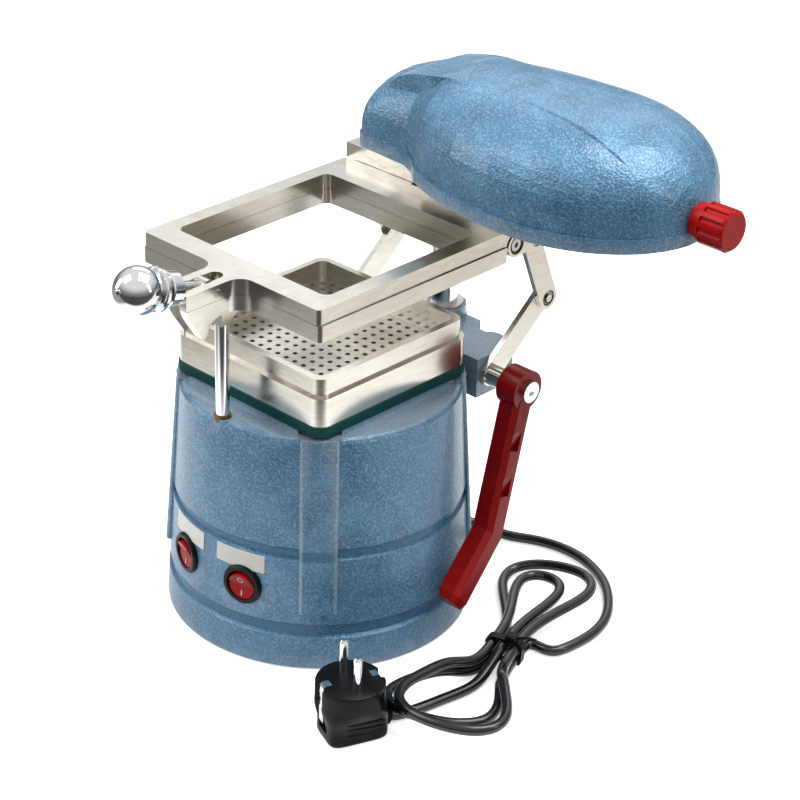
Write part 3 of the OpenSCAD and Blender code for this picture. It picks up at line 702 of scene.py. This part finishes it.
def dress_nodes(palette: Palette) -> None:
    """Gives each CAD node its procedural material.

    Args:
        palette: the materials.
    """
    for look, names in NODE_LOOKS.items():
        for name in names:
            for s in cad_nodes()[name].material_slots:
                s.material = palette.get(look)


class Studio:
    """Floor, lights and world of a pale product photograph."""

    # name, place in metres, width and height in metres, watts
    lamps = (
        ("key", (-0.7, -0.8, 1.5), (0.8, 0.8), 8),
        ("top", (0.35, 0.4, 1.5), (1.0, 1.0), 19),
        ("back", (-0.9, 1.1, 1.2), (1.3, 0.7), 2.5),
        ("side", (-1.3, -0.9, 0.6), (0.5, 0.9), 6),
        ("edge", (1.3, 0.4, 0.8), (0.25, 0.9), 1.5),
    )
    aim = (0.0, 0.02, 0.15)
    reach = 4.0

    def __init__(self, palette: Palette) -> None:
        self.palette = palette

    def floor(self) -> None:
        """Lays a large pale floor under the feet."""
        r = self.reach

        def build(bm: bmesh.types.BMesh) -> None:
            bm.faces.new([bm.verts.new((x, y, 0)) for x, y in ((-r, -r), (r, -r), (r, r), (-r, r))])

        mesh_object("floor", build, self.palette.get(Look.FLOOR), False)

    def lamp(self, name: str, place: Sequence[float], size: tuple[float, float], power: float) -> None:
        """Sets one white soft box, aimed at the object.

        Args:
            name: lamp name.
            place: position in metres.
            size: width and height in metres.
            power: watts.
        """
        data = bpy.data.lights.new(name, "AREA")
        data.shape = "RECTANGLE"
        data.size, data.size_y = size
        data.energy = power
        obj = link(bpy.data.objects.new(name, data))
        obj.location = place
        obj.rotation_euler = (Vector(self.aim) - Vector(place)).to_track_quat("-Z", "Y").to_euler()

    def world(self) -> None:
        """Makes a soft grey room with a white ceiling, and plain white where the camera sees it."""
        world = bpy.data.worlds.new("studio")
        bpy.context.scene.world = world
        world.use_nodes = True
        tree = world.node_tree
        tree.nodes.clear()
        gen = add_node(tree, "ShaderNodeTexCoord").outputs["Generated"]
        up = add_node(tree, "ShaderNodeSeparateXYZ", {0: gen}).outputs["Z"]
        high = remap(tree, up, (0.0, 0.62), interpolation_type="SMOOTHSTEP")
        room = blend(tree, high, (0.22, 0.22, 0.225, 1), (1, 1, 1, 1))
        rays = add_node(tree, "ShaderNodeLightPath").outputs
        colour = blend(tree, rays["Is Camera Ray"], room, (1.12, 1.12, 1.12, 1))
        bg = add_node(tree, "ShaderNodeBackground", {"Color": colour, "Strength": 0.9})
        out = add_node(tree, "ShaderNodeOutputWorld")
        tree.links.new(bg.outputs["Background"], out.inputs["Surface"])

    def build(self) -> None:
        """Sets up the floor, the world, the lamps and a plain view of the colours."""
        self.floor()
        self.world()
        for lamp in self.lamps:
            self.lamp(*lamp)
        bpy.context.scene.view_settings.view_transform = "Standard"


@dataclass(frozen=True)
class ReliefRings:
    """The raised rings round a moulded cord relief, repeated by Geometry Nodes.

    Args:
        count: how many rings.
        first_at: distance of the first from the relief's root, in millimetres.
        pitch: millimetres from ring to ring.
        first_radius: the first ring's radius, in millimetres.
        last_radius: the last ring's radius, in millimetres.
        wire: radius of a ring's own section, in millimetres.
    """

    count: int = 5
    first_at: float = 19.3
    pitch: float = 1.15
    first_radius: float = 6.5
    last_radius: float = 5.1
    wire: float = 0.42

    def tree(self, mat: bpy.types.Material) -> tuple[bpy.types.NodeTree, dict[str, str]]:
        """Builds the node tree.

        Args:
            mat: the rings' material.

        Returns:
            The tree and its inputs' identifiers by name.
        """
        tree = bpy.data.node_groups.new("relief_rings", "GeometryNodeTree")
        kinds = {"Count": "Int", "Start": "Vector", "Pitch": "Vector",
                 "First radius": "Float", "Last radius": "Float", "Wire": "Float"}
        ids = {name: tree.interface.new_socket(name=name, in_out="INPUT", socket_type=f"NodeSocket{kind}").identifier
               for name, kind in kinds.items()}
        tree.interface.new_socket(name="Geometry", in_out="OUTPUT", socket_type="NodeSocketGeometry")
        feed = add_node(tree, "NodeGroupInput").outputs
        along = {"Count": feed["Count"], "Start Location": feed["Start"], "Offset": feed["Pitch"]}
        line = add_node(tree, "GeometryNodeMeshLine", along).outputs["Mesh"]
        ring = add_node(tree, "GeometryNodeCurvePrimitiveCircle", {"Resolution": 48, "Radius": 1.0}).outputs["Curve"]
        thin = reckon(tree, "DIVIDE", feed["Wire"], feed["First radius"])
        wire = add_node(tree, "GeometryNodeCurvePrimitiveCircle", {"Resolution": 10, "Radius": thin}).outputs["Curve"]
        tube = add_node(tree, "GeometryNodeCurveToMesh", {"Curve": ring, "Profile Curve": wire}).outputs["Mesh"]
        last = reckon(tree, "SUBTRACT", feed["Count"], 1.0)
        index = add_node(tree, "GeometryNodeInputIndex").outputs[0]
        size = remap(tree, index, (0.0, last), (feed["First radius"], feed["Last radius"]))
        each = {"Points": line, "Instance": tube, "Scale": size}
        placed = add_node(tree, "GeometryNodeInstanceOnPoints", each).outputs["Instances"]
        real = add_node(tree, "GeometryNodeRealizeInstances", {"Geometry": placed}).outputs["Geometry"]
        made = add_node(tree, "GeometryNodeSetMaterial", {"Geometry": real, "Material": mat}).outputs["Geometry"]
        add_node(tree, "NodeGroupOutput", {"Geometry": made})
        return tree, ids

    def make(self, name: str, mat: bpy.types.Material, root: Vector, axis: Vector) -> bpy.types.Object:
        """Makes the rings as one plain mesh.

        Args:
            name: object name.
            mat: material.
            root: point that the distances start from, in metres.
            axis: direction along the relief.

        Returns:
            The object, with its place in its mesh.
        """
        tree, ids = self.tree(mat)
        obj = link(bpy.data.objects.new(name, bpy.data.meshes.new(name)))
        row = obj.modifiers.new("rings", "NODES")
        row.node_group = tree
        values = {
            "Count": self.count,
            "Start": (0.0, 0.0, self.first_at * MM),
            "Pitch": (0.0, 0.0, self.pitch * MM),
            "First radius": self.first_radius * MM,
            "Last radius": self.last_radius * MM,
            "Wire": self.wire * MM,
        }
        for socket, value in values.items():
            row[ids[socket]] = value
        mesh = bpy.data.meshes.new_from_object(obj.evaluated_get(bpy.context.evaluated_depsgraph_get()))
        obj.modifiers.clear()
        mesh.transform(Matrix.Translation(root) @ axis.to_track_quat("Z", "Y").to_matrix().to_4x4())
        obj.data = mesh
        for face in mesh.polygons:
            face.use_smooth = True
        return obj


class PlugMaker:
    """The angled earthed plug, standing with its pins up: a round face on a boxy grip, with a ribbed relief."""

    centre = (118.0, -92.0)
    azimuth = 68.0
    face_radius = 19.4
    # from the round face down, the body narrows to the grip over this height
    grip_top = 25
    grip_fall = 17
    grip_narrow = 6.2
    # the relief leaves the body at this height, at this angle from straight up
    relief_height = 13
    relief_degrees = 108

    def __init__(self, palette: Palette) -> None:
        self.palette = palette
        a = math.radians(self.azimuth)
        self.out = Vector((math.cos(a), math.sin(a), 0))
        self.side = Vector((-math.sin(a), math.cos(a), 0))
        b = math.radians(self.relief_degrees)
        self.relief = self.out * math.sin(b) + Vector((0, 0, math.cos(b)))

    def narrowing(self, z: float) -> float:
        """Says how far the body has narrowed to the grip.

        Args:
            z: height in millimetres.

        Returns:
            0 at the round face, 1 at the grip.
        """
        return smooth((self.grip_top - z) / self.grip_fall)

    def at(self, u: float, v: float, z: float) -> Vector:
        """Places a point by its distances from the plug's axis, in millimetres.

        Args:
            u: distance towards the cord.
            v: distance across.
            z: height.

        Returns:
            The point in metres.
        """
        return (Vector((*self.centre, z)) + self.out * u + self.side * v) * MM

    def section(self, z: float, inset: float, n: int = 120) -> list[Vector]:
        """Draws the body's outline at a height.

        Args:
            z: height in millimetres.
            inset: how far to draw the outline in.
            n: points round it.

        Returns:
            The points, in metres.
        """
        k = self.narrowing(z)
        power = 2 / (2 + 3.2 * k)
        half_v, back, front = (self.face_radius - cut * k - inset for cut in (self.grip_narrow, 3.4, 0))
        out = []
        for i in range(n):
            t = 2 * math.pi * i / n
            c, s = math.cos(t), math.sin(t)
            u = math.copysign(abs(c) ** power, c) * (front if c > 0 else back)
            v = math.copysign(abs(s) ** power, s) * half_v
            if abs(v) < 4.3 and z > (6 if c < 0 else 23):
                u = math.copysign(max(abs(u) - 2.7, 0), c)
            out.append(self.at(u, v, z))
        return out

    def body(self, bm: bmesh.types.BMesh) -> None:
        """Fills in the body, its relief and its grip bars.

        Args:
            bm: mesh to fill.
        """
        levels = [(0.02, 1.4), (0.5, 0.5), (1.4, 0.1)]
        levels += [(z, 0) for z in (3, 5.9, 6.1, 8, 10.5, 13, 15.5, 18, 20, 22, 22.9, 23.1, 25, 28, 31, 33.4)]
        levels += [(34.4, 0.35), (34.9, 1.2)]
        rings = [[bm.verts.new(p) for p in self.section(z, inset)] for z, inset in levels]
        skin_rings(bm, rings)
        bm.faces.new(list(reversed(rings[0])))
        bm.faces.new(rings[-1])
        root = self.at(0, 0, self.relief_height)
        path = [root + self.relief * MM * (11 + 13 * i / 6) for i in range(7)]
        sweep(bm, path, lambda i: (9.2 - 4.2 * i / 6) * MM, 32)
        for v in (-1, 1):
            for z in (7.0, 11.5, 16.0):
                edge = self.face_radius - self.grip_narrow * self.narrowing(z) - 0.25
                bar = [self.at(-8 + 23 * i / 10, v * (edge - 0.9 * (i / 10) ** 3), z - 2.0 * (i / 10))
                       for i in range(11)]
                sweep(bm, bar, lambda i: (0.85 if 0 < i < 10 else 0.3) * MM, 10)

    def clips(self, bm: bmesh.types.BMesh) -> None:
        """Fills in the two earth strips, each bent over the face's edge.

        Args:
            bm: mesh to fill.
        """
        for sign in (-1, 1):
            low = 12 if sign < 0 else 24.5
            line = [(16.75, low), (16.9, 30.0), (16.6, 34.0), (15.9, 35.1), (14.6, 35.35), (11.8, 35.3)]
            pairs = [[bm.verts.new(self.at(sign * u, v, z)) for v in (-2.6, 2.6)] for u, z in line]
            for a, b in zip(pairs, pairs[1:]):
                bm.faces.new((a[0], a[1], b[1], b[0]))

    def build(self) -> list[bpy.types.Object]:
        """Makes the plug's pieces.

        Returns:
            The body, its earth strips and its relief's rings.
        """
        black = self.palette.get(Look.BLACK)
        plug = mesh_object("plug", self.body, black, crease=38)
        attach(plug, "base")
        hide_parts("plug_body")
        strips = mesh_object("earth_strips", self.clips, self.palette.get(Look.CHROME), False)
        skin = strips.modifiers.new("skin", "SOLIDIFY")
        skin.thickness, skin.offset = 0.0005, 0
        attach(strips, "base")
        root = self.at(0, 0, self.relief_height)
        rings = ReliefRings().make("relief_rings", black, root, self.relief)
        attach(rings, "base")
        return [plug, strips, rings]


class Trim:
    """Small pieces that the CAD leaves to the look, lengths in millimetres."""

    # the rockers' bodies and their places round the base, in degrees
    switches = (("heat_switch", -74.3), ("vacuum_switch", -105.3))
    pivot_radius = 84
    pivot_height = 48.5
    tilt_degrees = 9
    # a mark stands this far off the rocker
    mark_rise = 0.06
    head_size = (6.2, 6.6, 3.2)
    tail_radius = 0.85

    def __init__(self, palette: Palette) -> None:
        self.palette = palette

    def switch_marks(self) -> None:
        """Makes a generic line and ring on each rocker, following its tilt."""
        for body, azimuth in self.switches:
            a = math.radians(azimuth)
            radial = Vector((math.cos(a), math.sin(a), 0))
            side = Vector((-math.sin(a), math.cos(a), 0))
            down = Vector((0, 0, -1))
            pivot = radial * self.pivot_radius * MM + Vector((0, 0, self.pivot_height * MM))
            tilt = math.radians(self.tilt_degrees)
            u = down * math.cos(tilt) - radial * math.sin(tilt)
            w = down * math.sin(tilt) + radial * math.cos(tilt)

            def spot(x: float, y: float) -> Vector:
                return pivot + (u * x + side * y + w * (4.4 + abs(x) * 0.2 + self.mark_rise)) * MM

            def build(bm: bmesh.types.BMesh) -> None:
                turns = [2 * math.pi * k / 20 for k in range(20)]
                rings = [[bm.verts.new(spot(-4.6 + r * math.cos(t), r * math.sin(t))) for t in turns]
                         for r in (1.45, 1.95)]
                skin_rings(bm, rings)
                bm.faces.new([bm.verts.new(spot(x, y)) for x, y in ((3.0, -0.3), (6.4, -0.3), (6.4, 0.3), (3.0, 0.3))])
                for face in bm.faces:
                    face.normal_update()

            mark = mesh_object(f"{body}_marks", build, self.palette.get(Look.LABEL), False)
            skin = mark.modifiers.new("skin", "SOLIDIFY")
            skin.thickness = 0.00008
            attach(mark, body)

    def tie_head(self) -> None:
        """Makes the small locking head and cut tail of the cord's tie."""
        route = CordRoute()
        top = route.at(0, 0, route.z1 + route.diameter / 2 + 1.4)
        along, across = (Vector((*way, 0)) for way in (route.along, route.across))

        def build(bm: bmesh.types.BMesh) -> None:
            place = Matrix.Translation((top + Vector((0, 0, 1.1)) + across * 4) * MM)
            frame = Matrix((across, along, Vector((0, 0, 1)))).transposed().to_4x4()
            size = Matrix.Diagonal((*(side * MM for side in self.head_size), 1))
            verts = bmesh.ops.create_cube(bm, size=1.0)["verts"]
            bmesh.ops.transform(bm, matrix=place @ frame @ size, verts=verts)
            tail = [(top + across * (7.1 + s * 3) + Vector((0, 0, 1.1 + s * 1.6 - s * s * 0.25))) * MM
                    for s in range(5)]
            sweep(bm, tail, lambda i: self.tail_radius * MM, 8)

        head = mesh_object("tie_head", build, self.palette.get(Look.BLACK))
        bevel = head.modifiers.new("round", "BEVEL")
        bevel.width, bevel.segments = 0.0004, 2
        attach(head, "base")

    def build(self) -> None:
        """Makes every trim piece."""
        self.switch_marks()
        self.tie_head()


def main() -> None:
    """Loads the frame, makes the camera and cord first, then the rest."""
    logging.basicConfig(level=logging.INFO)
    _FRAME.update(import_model())
    palette = Palette()
    PhotoCamera().make()
    CordMaker(palette, PlugMaker(palette).build()).make()
    dress_nodes(palette)
    Trim(palette).build()
    Studio(palette).build()


if __name__ == "__main__":
    main()
